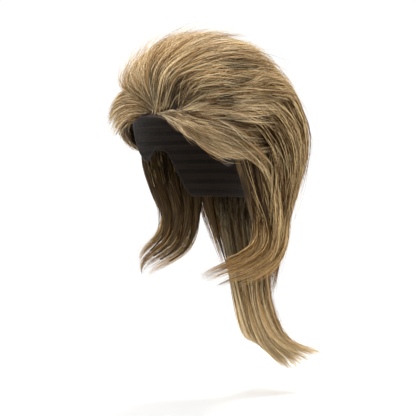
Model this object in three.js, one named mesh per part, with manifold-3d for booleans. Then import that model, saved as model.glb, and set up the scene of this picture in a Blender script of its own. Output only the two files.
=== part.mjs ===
// A short-fronted, long-backed wig as it hangs when worn: a close cap that carries eight pieces of hair, each
// a row of locks fused to the weft that sews them down. Millimetres, +Z up. The wearer faces -Y, their left is
// +X, and the origin is the top of the head, where the inside of the cap rests.

import * as THREE from "three";
import { mergeVertices } from "three/addons/utils/BufferGeometryUtils.js";
import Module from "manifold-3d";

const wasm = await Module();
wasm.setup();

// The head that the cap fits, and the neck below it
const headHalfWidth = 76;
const headHalfLength = 97;
const crownHeight = 95; // from the widest level of the head up to its top
const neckHalfWidth = 56;
const neckHalfLength = 62;
const neckDrop = 112; // from the widest level down to where the head has narrowed to the neck

// The cap, and the places of its rim in side view, below the top of the head and before or behind its middle
const capWall = 1.6;
const hairlineDrop = 60;
const templeDrop = 76;
const templeFront = 60;
const earTabDrop = 122;
const earTabFront = 34;
const earTabBack = 17;
const earArchDrop = 108;
const earArchBack = 14;
const napeDrop = 168;
const napeFront = 34;

// Clearances
const seatGap = 0.3; // between the cap and the hair that is sewn to it
const pieceGap = 0.3; // between two pieces of hair

// How the locks are made
const lockSides = 6;
const lockSteps = 7;
const lockOverlap = 1.28; // width of a lock as a share of its place in the row, so that neighbours fuse
const tipShare = 0.34; // width that a lock keeps at its tip
const tipStart = 0.6; // share of its length where a lock begins to narrow
const staggerShare = 0.07; // every second lock is shorter by this share
const weftHalfWidth = 6;
const weftThickness = 3; // above the cap: its lower half is cut away there
const weftPlace = 0.03; // share of the hair's length where the weft crosses it

// How far each piece of hair stands off the cap at its fullest, and how far it falls below the head's widest
// level
const crownVolume = 37;
const fringeVolume = 31;
const wingVolume = 28;
const farWingVolume = 20; // over the temple on the side that the fringe is thrown to
const wingFall = 95;
const sideVolume = 50;
const sideFall = 170;
const backVolume = 45;
const backFall = 178;
const tailVolume = 96;
const tailFall = 318;

const hairColours = {
  crown: 0xb2966a,
  fringe: 0xb0946a,
  wing: 0xa2875f,
  side: 0x7d6546,
  back: 0x8c7350,
  tail: 0xa68d66,
};
const capColour = 0x2a2019;

// A guide is the way one strand of a piece runs, root to tip. Its columns are [x, y, z, under, over].
// x and y point out from the middle of the head, as shares of its half width and half length. z is up from the
// widest level as a share of crownHeight, or down from it as a share of the piece's fall. under and over are
// the two faces of the hair there, off the cap, as shares of the piece's volume.
const crownMiddle = [
  [0.0, -1.0, 0.44, 0.0, 0.14],
  [0.0, -0.98, 0.88, 0.14, 0.76],
  [0.0, -0.6, 1.0, 0.2, 0.94],
  [0.0, 0.0, 1.0, 0.25, 1.04],
  [0.0, 0.6, 0.92, 0.45, 1.08],
  [0.0, 0.95, 0.5, 0.86, 1.2],
];
const crownHalfLeft = [
  [0.3, -1.0, 0.46, 0.0, 0.14],
  [0.42, -0.95, 0.86, 0.14, 0.76],
  [0.56, -0.55, 0.95, 0.2, 0.98],
  [0.62, 0.02, 0.95, 0.25, 1.1],
  [0.62, 0.6, 0.8, 0.45, 1.24],
  [0.58, 0.95, 0.42, 0.88, 1.26],
];
const crownFarLeft = [
  [0.62, -0.85, 0.5, 0.0, 0.14],
  [0.84, -0.62, 0.6, 0.16, 0.6],
  [1.0, -0.26, 0.6, 0.26, 0.86],
  [1.0, 0.16, 0.56, 0.34, 1.04],
  [0.95, 0.56, 0.46, 0.5, 1.2],
  [0.88, 0.88, 0.26, 0.9, 1.26],
];
const fringeTop = [
  [0.16, -1.0, 0.48, 0.0, 0.12],
  [-0.04, -1.0, 0.62, 0.14, 0.6],
  [-0.36, -1.0, 0.64, 0.28, 0.86],
  [-0.6, -0.98, 0.53, 0.42, 0.96],
  [-0.78, -0.92, 0.38, 0.6, 1.0],
];
const fringeFront = [
  [0.07, -1.0, 0.42, 0.0, 0.12],
  [-0.1, -1.0, 0.455, 0.13, 0.48],
  [-0.3, -1.0, 0.42, 0.27, 0.76],
  [-0.46, -1.0, 0.31, 0.4, 0.92],
  [-0.56, -1.0, 0.17, 0.56, 1.0],
];
const fringeTemple = [
  [-0.02, -1.0, 0.4, 0.0, 0.12],
  [-0.12, -1.0, 0.33, 0.1, 0.38],
  [-0.21, -1.0, 0.235, 0.18, 0.56],
  [-0.3, -1.0, 0.14, 0.27, 0.7],
  [-0.38, -1.0, 0.03, 0.36, 0.82],
];
const wingEdge = [
  [0.14, -1.0, 0.41, 0.0, 0.12],
  [0.48, -0.97, 0.32, 0.08, 0.42],
  [0.76, -0.8, 0.1, 0.2, 0.68],
  [0.95, -0.48, -0.13, 0.34, 0.84],
  [1.0, -0.04, -0.18, 0.56, 1.0],
];
const wingFarEdge = [
  [0.14, -1.0, 0.41, 0.0, 0.12],
  [0.5, -0.95, 0.36, 0.1, 0.46],
  [0.84, -0.68, 0.14, 0.24, 0.7],
  [1.0, -0.26, -0.1, 0.4, 0.86],
  [1.0, 0.08, -0.12, 0.62, 1.0],
];
const wingMiddle = [
  [0.34, -1.0, 0.44, 0.0, 0.12],
  [0.68, -0.85, 0.3, 0.15, 0.6],
  [0.92, -0.5, 0.12, 0.3, 0.88],
  [1.0, -0.08, 0.0, 0.44, 1.0],
  [1.0, 0.32, 0.06, 0.66, 1.08],
];
const wingTop = [
  [0.55, -0.9, 0.46, 0.0, 0.12],
  [0.8, -0.62, 0.56, 0.15, 0.6],
  [0.98, -0.22, 0.54, 0.3, 0.86],
  [1.0, 0.18, 0.5, 0.44, 1.04],
  [0.98, 0.58, 0.44, 0.7, 1.2],
];
const sideFront = [
  [1.0, -0.2, 0.12, 0.0, 0.06],
  [1.0, -0.22, -0.1, 0.06, 0.24],
  [1.0, -0.06, -0.36, 0.2, 0.42],
  [1.0, 0.1, -0.56, 0.28, 0.5],
  [1.0, 0.02, -0.74, 0.3, 0.5],
  [0.8, -0.55, -0.88, 0.24, 0.38],
];
const sideMiddle = [
  [1.0, 0.2, 0.24, 0.0, 0.08],
  [1.0, 0.26, -0.08, 0.12, 0.46],
  [1.0, 0.42, -0.38, 0.25, 0.76],
  [1.0, 0.52, -0.62, 0.35, 0.84],
  [1.0, 0.34, -0.83, 0.4, 0.74],
  [0.95, -0.34, -0.95, 0.3, 0.46],
];
const sideRear = [
  [0.94, 0.56, 0.42, 0.0, 0.08],
  [0.98, 0.68, 0.02, 0.2, 0.78],
  [0.94, 0.82, -0.32, 0.38, 1.02],
  [0.94, 0.86, -0.62, 0.42, 1.06],
  [0.98, 0.66, -0.86, 0.4, 0.84],
  [1.0, 0.02, -1.0, 0.36, 0.56],
];
const backMiddle = [
  [0.0, 0.3, 1.0, 0.0, 0.08],
  [0.0, 0.8, 0.8, 0.1, 0.62],
  [0.0, 1.0, 0.34, 0.2, 1.0],
  [0.0, 1.0, -0.14, 0.3, 1.02],
  [0.0, 1.0, -0.5, 0.5, 1.1],
  [0.0, 1.0, -0.86, 0.64, 0.98],
  [0.0, 1.0, -1.12, 0.74, 0.86],
];
const backEdge = [
  [0.62, 0.12, 1.0, 0.0, 0.08],
  [0.98, 0.5, 0.66, 0.1, 0.6],
  [1.0, 0.68, 0.26, 0.2, 0.96],
  [0.98, 0.76, -0.16, 0.3, 1.04],
  [0.84, 0.9, -0.5, 0.46, 1.1],
  [0.6, 1.0, -0.84, 0.56, 0.92],
  [0.42, 1.0, -1.04, 0.66, 0.8],
];
const tailMiddle = [
  [0.0, 1.0, -0.12, 0.0, 0.04],
  [0.0, 1.0, -0.28, 0.06, 0.22],
  [0.0, 1.0, -0.46, 0.16, 0.35],
  [0.0, 1.0, -0.66, 0.26, 0.46],
  [0.0, 1.0, -0.83, 0.54, 0.76],
  [0.0, 1.0, -0.94, 1.02, 1.18],
];
const tailEdge = [
  [0.6, 0.82, -0.12, 0.0, 0.04],
  [0.54, 0.95, -0.28, 0.05, 0.2],
  [0.4, 1.0, -0.46, 0.15, 0.32],
  [0.26, 1.0, -0.66, 0.25, 0.45],
  [0.24, 1.0, -0.82, 0.53, 0.75],
  [0.26, 1.0, -0.87, 1.0, 1.18],
];

// The same guide on the other side of the head
const mirrored = (guide) => guide.map(([x, ...rest]) => [-x, ...rest]);

const wingGuides = [wingEdge, wingMiddle, wingTop];
const farWingGuides = [wingFarEdge, wingMiddle, wingTop].map(mirrored);
const sideGuides = [sideFront, sideMiddle, sideRear];

// Pieces of hair from the innermost to the outermost. Where two meet, the later one gives way.
const hairPieces = [
  {
    name: "nape_tail", locks: 5, volume: tailVolume, fall: tailFall, colour: hairColours.tail,
    guides: [tailEdge, tailMiddle, mirrored(tailEdge)],
  },
  {
    name: "side_lock_left", locks: 4, volume: sideVolume, fall: sideFall, colour: hairColours.side,
    guides: sideGuides,
  },
  {
    name: "side_lock_right", locks: 4, volume: sideVolume, fall: sideFall, colour: hairColours.side,
    guides: sideGuides.map(mirrored),
  },
  {
    name: "back_hair", locks: 6, volume: backVolume, fall: backFall, colour: hairColours.back,
    guides: [backEdge, backMiddle, mirrored(backEdge)],
  },
  {
    name: "wing_left", locks: 4, volume: wingVolume, fall: wingFall, colour: hairColours.wing,
    guides: wingGuides,
  },
  {
    name: "wing_right", locks: 4, volume: farWingVolume, fall: wingFall, colour: hairColours.wing,
    guides: farWingGuides,
  },
  {
    name: "crown_hair", locks: 7, volume: crownVolume, fall: wingFall, colour: hairColours.crown,
    guides: [crownFarLeft, crownHalfLeft, crownMiddle, mirrored(crownHalfLeft), mirrored(crownFarLeft)],
  },
  {
    name: "fringe", locks: 4, volume: fringeVolume, fall: wingFall, colour: hairColours.fringe,
    guides: [fringeTop, fringeFront, fringeTemple],
  },
];

// A closed geometry as a solid that can be joined and cut
function solidOf(geometry) {
  const bare = geometry.clone();
  bare.deleteAttribute("normal");
  bare.deleteAttribute("uv");
  const merged = mergeVertices(bare, 1e-4);
  return new wasm.Manifold(
    new wasm.Mesh({
      numProp: 3,
      vertProperties: merged.getAttribute("position").array,
      triVerts: new Uint32Array(merged.index.array),
    }),
  );
}

// The largest body of a solid, without the slivers that a cut leaves beside it or hollows shut up inside it
function mainBody(solid) {
  return solid.decompose().reduce((most, body) => (body.volume() > most.volume() ? body : most));
}

// A finished solid as a named mesh with its own finish
function meshOf(name, solid, colour, roughness) {
  const { vertProperties, triVerts } = solid.getMesh();
  const geometry = new THREE.BufferGeometry();
  geometry.setAttribute("position", new THREE.BufferAttribute(vertProperties, 3));
  geometry.setIndex(new THREE.BufferAttribute(triVerts, 1));
  geometry.computeVertexNormals();
  const material = new THREE.MeshStandardMaterial({ color: colour, roughness, metalness: 0 });
  const mesh = new THREE.Mesh(geometry, material);
  mesh.name = name;
  return mesh;
}

// The point that lies lift above the head or neck in the direction x, y, z, with the way out from the skin.
// Below the widest level z is a drop in millimetres, and above it a share of the crown's height.
function offHead(x, y, z, lift) {
  const dome = Math.max(z, 0);
  const narrowing = THREE.MathUtils.smoothstep(-z, 0, neckDrop);
  const halfWidth = THREE.MathUtils.lerp(headHalfWidth, neckHalfWidth, narrowing);
  const halfLength = THREE.MathUtils.lerp(headHalfLength, neckHalfLength, narrowing);
  const reach = 1 / Math.hypot(x, y, dome);
  const point = new THREE.Vector3(x * halfWidth * reach, y * halfLength * reach, dome * crownHeight * reach);
  point.z += Math.min(z, 0) - crownHeight;
  const outward = new THREE.Vector3(x / halfWidth, y / halfLength, dome / crownHeight).normalize();
  return { point: point.addScaledVector(outward, lift), outward };
}

// Rows of numbers read as a smooth curve: the row at a share of the way through them
function rowAt(rows, share) {
  const last = rows.length - 1;
  const place = THREE.MathUtils.clamp(share, 0, 1) * last;
  const start = Math.min(Math.floor(place), last - 1);
  const part = place - start;
  const near = [-1, 0, 1, 2].map((step) => rows[THREE.MathUtils.clamp(start + step, 0, last)]);
  return rows[0].map((_, column) => {
    const [before, from, to, after] = near.map((row) => row[column]);
    const leave = (to - before) / 2;
    const arrive = (after - from) / 2;
    const bend = 3 * (to - from) - 2 * leave - arrive;
    const twist = 2 * (from - to) + leave + arrive;
    return from + part * (leave + part * (bend + part * twist));
  });
}

// The middle of the hair, half its thickness and the way out from the head. across is the share of the way from
// the first guide to the last, and along the share from root to tip.
function hairAt(piece, across, along) {
  const rows = piece.guides.map((guide) => rowAt(guide, along));
  const [x, y, z, under, over] = rowAt(rows, across);
  const height = z < 0 ? z * piece.fall : z;
  const low = Math.max(under, 0) * piece.volume;
  const high = Math.max(over, under) * piece.volume;
  const placed = offHead(x, y, height, capWall + seatGap + (low + high) / 2);
  return { ...placed, halfThickness: (high - low) / 2 };
}

// A tapering solid swept through stations, each a point, the way out, half a width and half a thickness. It is
// a closed cylinder whose rings are moved to the stations.
function sweep(stations) {
  const last = stations.length - 1;
  const geometry = new THREE.CylinderGeometry(1, 1, 1, lockSides, last);
  const frames = stations.map((station, index) => {
    const ahead = stations[Math.min(index + 1, last)].point;
    const behind = stations[Math.max(index - 1, 0)].point;
    const along = ahead.clone().sub(behind).normalize();
    const aside = along.clone().cross(station.outward).normalize();
    return { aside, out: aside.clone().cross(along) };
  });
  const position = geometry.getAttribute("position");
  const vertex = new THREE.Vector3();
  for (let i = 0; i < position.count; i += 1) {
    const index = Math.round((position.getY(i) + 0.5) * last);
    const { point, halfWidth, halfThickness } = stations[index];
    vertex.copy(point);
    vertex.addScaledVector(frames[index].aside, position.getX(i) * halfWidth);
    vertex.addScaledVector(frames[index].out, position.getZ(i) * halfThickness);
    position.setXYZ(i, vertex.x, vertex.y, vertex.z);
  }
  return geometry;
}

// One lock of a piece, wider than its place in the row so that it fuses with the next, and narrow at the tip
function lockOf(piece, index, grow) {
  const across = (index + 0.5) / piece.locks;
  const halfPlace = 0.5 / piece.locks;
  const reach = 1 - staggerShare * (index % 2);
  const stations = [];
  for (let step = 0; step <= lockSteps; step += 1) {
    const along = (step / lockSteps) * reach;
    const station = hairAt(piece, across, along);
    const left = hairAt(piece, across - halfPlace, along).point;
    const right = hairAt(piece, across + halfPlace, along).point;
    const narrowing = THREE.MathUtils.smoothstep(step / lockSteps, tipStart, 1);
    const fullness = THREE.MathUtils.lerp(1, tipShare, narrowing);
    station.halfWidth = (left.distanceTo(right) / 2) * lockOverlap * fullness + grow;
    station.halfThickness += grow;
    stations.push(station);
  }
  return sweep(stations);
}

// The weft that a piece's locks are sewn to, laid on the cap across their roots
function weftOf(piece, grow) {
  const stations = [];
  const steps = 2 * piece.locks;
  for (let step = 0; step <= steps; step += 1) {
    const [x, y, z] = rowAt(piece.guides.map((guide) => rowAt(guide, weftPlace)), step / steps);
    const height = z < 0 ? z * piece.fall : z;
    const station = offHead(x, y, height, capWall + seatGap);
    station.halfWidth = weftHalfWidth + grow;
    station.halfThickness = weftThickness + grow;
    stations.push(station);
  }
  return sweep(stations);
}

// A whole piece of hair. grow swells it on every side, to cut its clearance out of a piece laid over it.
function hairSolid(piece, grow = 0) {
  let whole = solidOf(weftOf(piece, grow));
  for (let index = 0; index < piece.locks; index += 1) {
    whole = whole.add(solidOf(lockOf(piece, index, grow)));
  }
  return whole;
}

// The head that the cap fits, swollen by offset, as far down as a little below the nape
function headForm(offset) {
  const depth = 1.5 * (napeDrop - crownHeight);
  const geometry = new THREE.SphereGeometry(1, 28, 14);
  geometry.rotateX(Math.PI / 2);
  const foot = new THREE.Vector3(0, 0, -depth - crownHeight);
  const position = geometry.getAttribute("position");
  for (let i = 0; i < position.count; i += 1) {
    const [x, y, z] = [position.getX(i), position.getY(i), position.getZ(i)];
    const height = z < 0 ? z * depth : z;
    const atFoot = z < 0 && Math.hypot(x, y) < 1e-6;
    const point = atFoot ? foot : offHead(x, y, height, offset).point;
    position.setXYZ(i, point.x, point.y, point.z);
  }
  return solidOf(geometry);
}

// What the face, the ears and the neck take out of the cap, in side view. The rim runs from the forehead by the
// temple, round the tab before the ear and the arch over it, to the nape.
function faceOpening() {
  const outside = 2 * headHalfLength;
  const belowAll = 2 * napeDrop;
  const rim = new THREE.Shape();
  rim.moveTo(-outside, -belowAll);
  rim.lineTo(-outside, -hairlineDrop);
  rim.lineTo(-headHalfLength, -hairlineDrop);
  rim.lineTo(-templeFront, -templeDrop);
  rim.lineTo(-earTabFront, -earTabDrop);
  rim.lineTo(-earTabBack, -earTabDrop);
  rim.lineTo(-earTabBack, -earArchDrop);
  rim.lineTo(earArchBack, -earArchDrop);
  rim.lineTo(napeFront, -napeDrop);
  rim.lineTo(outside, -napeDrop);
  rim.lineTo(outside, -belowAll);
  const width = 4 * headHalfWidth;
  const opening = new THREE.ExtrudeGeometry(rim, { depth: width, bevelEnabled: false });
  // The outline's x becomes y, its y becomes z, and its depth becomes x
  opening.applyMatrix4(new THREE.Matrix4().set(0, 0, 1, -width / 2, 1, 0, 0, 0, 0, 1, 0, 0, 0, 0, 0, 1));
  return solidOf(opening);
}

function capSolid() {
  return headForm(capWall).subtract(headForm(0)).subtract(faceOpening());
}

const wig = new THREE.Group();
wig.add(meshOf("cap", capSolid(), capColour, 0.9));

// Each piece is cut clear of the cap, and of the pieces that it lies over
const taken = [headForm(capWall + seatGap)];
for (const piece of hairPieces) {
  const clear = taken.reduce((hair, inner) => hair.subtract(inner), hairSolid(piece));
  wig.add(meshOf(piece.name, mainBody(clear), piece.colour, 0.5));
  taken.push(hairSolid(piece, pieceGap));
}

export default wig;
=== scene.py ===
# A wig with a brushed-back crown, feathered sides and a long nape tail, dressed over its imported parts.
# Metres, +Z up. The wearer faces -Y, their left is +X, and the origin is the top of the head inside the cap.
import math

import bmesh
import bpy
import numpy as np
from mathutils import Matrix, Vector


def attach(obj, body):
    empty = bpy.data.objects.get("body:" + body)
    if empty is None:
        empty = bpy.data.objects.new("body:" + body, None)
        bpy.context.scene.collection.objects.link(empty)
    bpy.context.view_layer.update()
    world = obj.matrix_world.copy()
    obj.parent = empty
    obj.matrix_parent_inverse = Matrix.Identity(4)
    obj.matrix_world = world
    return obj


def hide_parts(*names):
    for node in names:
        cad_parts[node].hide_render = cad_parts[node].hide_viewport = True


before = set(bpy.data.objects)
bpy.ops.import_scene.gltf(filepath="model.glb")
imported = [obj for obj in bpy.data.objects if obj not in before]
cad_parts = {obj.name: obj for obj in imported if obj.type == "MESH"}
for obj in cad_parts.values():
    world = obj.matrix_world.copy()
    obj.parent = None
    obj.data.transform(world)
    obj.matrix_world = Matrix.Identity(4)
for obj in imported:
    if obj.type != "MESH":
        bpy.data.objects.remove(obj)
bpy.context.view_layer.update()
print("frame loaded:", len(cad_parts), "parts")

# Small helpers

def newObject(name, data):
    made = bpy.data.objects.new(name, data)
    bpy.context.scene.collection.objects.link(made)
    return made


def addNode(tree, kind, **settings):
    node = tree.nodes.new(kind)
    for name, value in settings.items():
        setattr(node, name, value)
    return node


def joinSocket(tree, value, socket):
    # value is another node's output, or a plain number or colour
    if hasattr(value, "node"):
        tree.links.new(value, socket)
    else:
        socket.default_value = value


def mixColours(tree, share, first, second, blend="MIX"):
    mix = addNode(tree, "ShaderNodeMix", data_type="RGBA", blend_type=blend)
    joinSocket(tree, share, mix.inputs["Factor"])
    joinSocket(tree, first, mix.inputs["A"])
    joinSocket(tree, second, mix.inputs["B"])
    return mix.outputs["Result"]


def rangeOf(tree, value, low, high, toLow=0.0, toHigh=1.0):
    node = addNode(tree, "ShaderNodeMapRange", interpolation_type="SMOOTHSTEP")
    for name, number in (("From Min", low), ("From Max", high), ("To Min", toLow), ("To Max", toHigh)):
        node.inputs[name].default_value = number
    tree.links.new(value, node.inputs["Value"])
    return node.outputs["Result"]


# Camera, light and floor

photoView = {
    "azimuth": 44.0,
    "elevation": 4.8,
    "distance": 1.9,
    "lens": 131.5,
    "sensorWidth": 36.0,
    "asideOfOrigin": 0.0075,  # of the point looked at, to the camera's right
    "heightOfAim": -0.179,
}

studio = {
    "skyColour": (1.0, 1.0, 1.0),
    "skyBehind": 1.05,
    "skyLight": 0.6,
    "keyPlace": (-1.1, -1.6, 1.2),
    "keySize": 1.0,
    "keyPower": 46.0,
    "fillPlace": (2.1, -0.3, 0.15),
    "fillSize": 1.6,
    "fillPower": 15.0,
    "topPlace": (0.2, 0.5, 1.7),
    "topSize": 1.2,
    "topPower": 44.0,
    "lightAim": (0.0, 0.0, -0.12),
    "floorHeight": -0.432,
    "floorRadius": 0.95,
    "floorSides": 96,
    "floorColour": (0.93, 0.93, 0.925),
    "floorRoughness": 0.9,
    "floorFade": (0.35, 0.95),  # shares of its radius over which it thins out into the sky
}


def lookAlong(azimuth, elevation):
    a, e = math.radians(azimuth), math.radians(elevation)
    return Vector((math.sin(a) * math.cos(e), -math.cos(a) * math.cos(e), math.sin(e)))


def makeCamera(look):
    back = lookAlong(look["azimuth"], look["elevation"])
    a = math.radians(look["azimuth"])
    aside = Vector((math.cos(a), math.sin(a), 0.0))
    aim = aside * look["asideOfOrigin"] + Vector((0.0, 0.0, look["heightOfAim"]))
    data = bpy.data.cameras.new("photoCamera")
    data.lens = look["lens"]
    data.sensor_width = look["sensorWidth"]
    camera = newObject("photoCamera", data)
    camera.location = aim + back * look["distance"]
    camera.rotation_mode = "QUATERNION"
    camera.rotation_quaternion = (-back).to_track_quat("-Z", "Y")
    bpy.context.scene.camera = camera


def makeLight(look, kind):
    place = Vector(look[kind + "Place"])
    data = bpy.data.lights.new(kind + "Light", "AREA")
    data.shape = "DISK"
    data.size = look[kind + "Size"]
    data.energy = look[kind + "Power"]
    lamp = newObject(kind + "Light", data)
    lamp.location = place
    lamp.rotation_mode = "QUATERNION"
    lamp.rotation_quaternion = (Vector(look["lightAim"]) - place).to_track_quat("-Z", "Y")


def makeStudio(look):
    world = bpy.data.worlds.new("studioSky")
    world.use_nodes = True
    tree = world.node_tree
    sky = tree.nodes["Background"]
    sky.inputs["Color"].default_value = (*look["skyColour"], 1.0)
    seen = addNode(tree, "ShaderNodeLightPath")
    strength = addNode(tree, "ShaderNodeMapRange")  # white behind the wig, softer as a light on it
    strength.inputs["To Min"].default_value = look["skyLight"]
    strength.inputs["To Max"].default_value = look["skyBehind"]
    tree.links.new(seen.outputs["Is Camera Ray"], strength.inputs["Value"])
    tree.links.new(strength.outputs["Result"], sky.inputs["Strength"])
    bpy.context.scene.world = world
    bpy.context.scene.view_settings.view_transform = "Standard"
    for kind in ("key", "fill", "top"):
        makeLight(look, kind)

    bm = bmesh.new()
    bmesh.ops.create_circle(bm, cap_ends=True, segments=look["floorSides"], radius=look["floorRadius"])
    bmesh.ops.translate(bm, vec=(0.0, 0.0, look["floorHeight"]), verts=bm.verts)
    mesh = bpy.data.meshes.new("floor")
    bm.to_mesh(mesh)
    bm.free()
    floor = newObject("floor", mesh)

    paint = bpy.data.materials.new("paleFloor")
    paint.use_nodes = True
    tree = paint.node_tree
    shader = tree.nodes["Principled BSDF"]
    shader.inputs["Base Color"].default_value = (*look["floorColour"], 1.0)
    shader.inputs["Roughness"].default_value = look["floorRoughness"]
    spot = addNode(tree, "ShaderNodeTexCoord")
    flat = addNode(tree, "ShaderNodeVectorMath", operation="MULTIPLY")
    flat.inputs[1].default_value = (1.0, 1.0, 0.0)
    reach = addNode(tree, "ShaderNodeVectorMath", operation="LENGTH")
    tree.links.new(spot.outputs["Object"], flat.inputs[0])
    tree.links.new(flat.outputs[0], reach.inputs[0])
    inner, outer = (look["floorRadius"] * share for share in look["floorFade"])
    tree.links.new(rangeOf(tree, reach.outputs["Value"], inner, outer, 1.0, 0.0), shader.inputs["Alpha"])
    mesh.materials.append(paint)


makeCamera(photoView)
makeStudio(studio)
print("camera, light and floor made")

# The head inside, which every piece is placed by

head = {
    "halfWidth": 0.076,
    "halfLength": 0.097,
    "crownHeight": 0.095,
    "neckHalfWidth": 0.056,
    "neckHalfLength": 0.062,
    "neckDrop": 0.112,
}
capWall = 0.0016
seatGap = 0.0003


def smoothStep(value, low, high):
    share = np.clip((value - low) / (high - low), 0.0, 1.0)
    return share * share * (3.0 - 2.0 * share)


def offHead(x, y, z, lift):
    # z is a share of the crown's height above the widest level, and metres below it
    dome = np.maximum(z, 0.0)
    narrowing = smoothStep(-z, 0.0, head["neckDrop"])
    halfWidth = head["halfWidth"] + (head["neckHalfWidth"] - head["halfWidth"]) * narrowing
    halfLength = head["halfLength"] + (head["neckHalfLength"] - head["halfLength"]) * narrowing
    reach = 1.0 / np.sqrt(x * x + y * y + dome * dome)
    place = np.stack([x * halfWidth * reach, y * halfLength * reach, dome * head["crownHeight"] * reach], -1)
    place[..., 2] += np.minimum(z, 0.0) - head["crownHeight"]
    outward = np.stack([x / halfWidth, y / halfLength, dome / head["crownHeight"]], -1)
    outward /= np.linalg.norm(outward, axis=-1, keepdims=True)
    return place + outward * lift[..., None], outward


def curveWeights(share, count):
    # four rows and their weights for a smooth curve through count rows, run on straight past either end
    last = count - 1
    place = share * last
    start = np.clip(np.floor(place), 0, last - 1).astype(int)
    part = np.clip(place - start, 0.0, 1.0)
    beyond = np.clip(place - last, 0.0, None) + np.clip(place, None, 0.0)
    rows = np.stack([np.clip(start + step, 0, last) for step in (-1, 0, 1, 2)], -1)
    weights = np.stack([
        (-part + 2 * part ** 2 - part ** 3) / 2,
        (2 - 5 * part ** 2 + 3 * part ** 3) / 2 - beyond,
        (part + 4 * part ** 2 - 3 * part ** 3) / 2 + beyond,
        (-part ** 2 + part ** 3) / 2,
    ], -1)
    return rows, weights


def hairAt(piece, across, along, depth):
    # across runs from the first guide to the last, along from root to tip, and depth from the inner face out
    guides = np.array(piece["guides"])
    rowsAlong, weightsAlong = curveWeights(along, guides.shape[1])
    strips = np.einsum("g...fc,...f->...gc", guides[:, rowsAlong, :], weightsAlong)
    rowsAcross, weightsAcross = curveWeights(np.clip(across, 0.0, 1.0), guides.shape[0])
    near = np.take_along_axis(strips, rowsAcross[..., None], axis=-2)
    x, y, z, under, over = np.moveaxis((near * weightsAcross[..., None]).sum(-2), -1, 0)
    height = np.where(z < 0.0, z * piece["fall"], z)
    low = np.maximum(under, 0.0) * piece["volume"]
    high = np.maximum(over, under) * piece["volume"]
    point, outward = offHead(x, y, height, capWall + seatGap + low + (high - low) * depth)
    return point, outward, high - low


# Guides, one row for each step along the hair: [x, y, z, under, over]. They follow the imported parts, but stand
# a little fuller at the top of the back and at the end of the tail.

def mirrored(guide):
    return [[-row[0], *row[1:]] for row in guide]


crownMiddle = [
    [0.0, -1.0, 0.44, 0.0, 0.14], [0.0, -0.98, 0.88, 0.14, 0.76], [0.0, -0.6, 1.0, 0.2, 0.94],
    [0.0, 0.0, 1.0, 0.25, 1.04], [0.0, 0.6, 0.92, 0.45, 1.08], [0.0, 0.95, 0.5, 0.86, 1.2],
]
crownHalf = [
    [0.3, -1.0, 0.46, 0.0, 0.14], [0.42, -0.95, 0.86, 0.14, 0.76], [0.56, -0.55, 0.95, 0.2, 0.98],
    [0.62, 0.02, 0.95, 0.25, 1.1], [0.62, 0.6, 0.8, 0.45, 1.24], [0.58, 0.95, 0.42, 0.88, 1.26],
]
crownFar = [
    [0.62, -0.85, 0.5, 0.0, 0.14], [0.84, -0.62, 0.6, 0.16, 0.6], [1.0, -0.26, 0.6, 0.26, 0.86],
    [1.0, 0.16, 0.56, 0.34, 1.04], [0.95, 0.56, 0.46, 0.5, 1.2], [0.88, 0.88, 0.26, 0.9, 1.26],
]
fringeTop = [
    [0.16, -1.0, 0.48, 0.0, 0.12], [-0.04, -1.0, 0.62, 0.14, 0.6], [-0.36, -1.0, 0.64, 0.28, 0.86],
    [-0.6, -0.98, 0.53, 0.42, 0.96], [-0.78, -0.92, 0.38, 0.6, 1.0],
]
fringeFront = [
    [0.07, -1.0, 0.42, 0.0, 0.12], [-0.1, -1.0, 0.455, 0.13, 0.48], [-0.3, -1.0, 0.42, 0.27, 0.76],
    [-0.46, -1.0, 0.31, 0.4, 0.92], [-0.56, -1.0, 0.17, 0.56, 1.0],
]
fringeTemple = [
    [-0.02, -1.0, 0.4, 0.0, 0.12], [-0.12, -1.0, 0.33, 0.1, 0.38], [-0.21, -1.0, 0.235, 0.18, 0.56],
    [-0.3, -1.0, 0.14, 0.27, 0.7], [-0.38, -1.0, 0.03, 0.36, 0.82],
]
wingEdge = [
    [0.14, -1.0, 0.41, 0.0, 0.12], [0.48, -0.97, 0.32, 0.08, 0.42], [0.76, -0.8, 0.1, 0.2, 0.68],
    [0.95, -0.48, -0.13, 0.34, 0.84], [1.0, -0.04, -0.18, 0.56, 1.0],
]
wingFarEdge = [
    [0.14, -1.0, 0.41, 0.0, 0.12], [0.5, -0.95, 0.36, 0.1, 0.46], [0.84, -0.68, 0.14, 0.24, 0.7],
    [1.0, -0.26, -0.1, 0.4, 0.86], [1.0, 0.08, -0.12, 0.62, 1.0],
]
wingMiddle = [
    [0.34, -1.0, 0.44, 0.0, 0.12], [0.68, -0.85, 0.3, 0.15, 0.6], [0.92, -0.5, 0.12, 0.3, 0.88],
    [1.0, -0.08, 0.0, 0.44, 1.0], [1.0, 0.32, 0.06, 0.66, 1.08],
]
wingTop = [
    [0.55, -0.9, 0.46, 0.0, 0.12], [0.8, -0.62, 0.56, 0.15, 0.6], [0.98, -0.22, 0.54, 0.3, 0.86],
    [1.0, 0.18, 0.5, 0.44, 1.04], [0.98, 0.58, 0.44, 0.7, 1.2],
]
sideFront = [
    [1.0, -0.2, 0.12, 0.0, 0.06], [1.0, -0.22, -0.1, 0.06, 0.24], [1.0, -0.06, -0.36, 0.2, 0.42],
    [1.0, 0.1, -0.56, 0.28, 0.5], [1.0, 0.02, -0.74, 0.3, 0.5], [0.8, -0.55, -0.88, 0.24, 0.38],
]
sideMiddle = [
    [1.0, 0.2, 0.24, 0.0, 0.08], [1.0, 0.26, -0.08, 0.12, 0.46], [1.0, 0.42, -0.38, 0.25, 0.76],
    [1.0, 0.52, -0.62, 0.35, 0.84], [1.0, 0.34, -0.83, 0.4, 0.74], [0.95, -0.34, -0.95, 0.3, 0.46],
]
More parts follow.
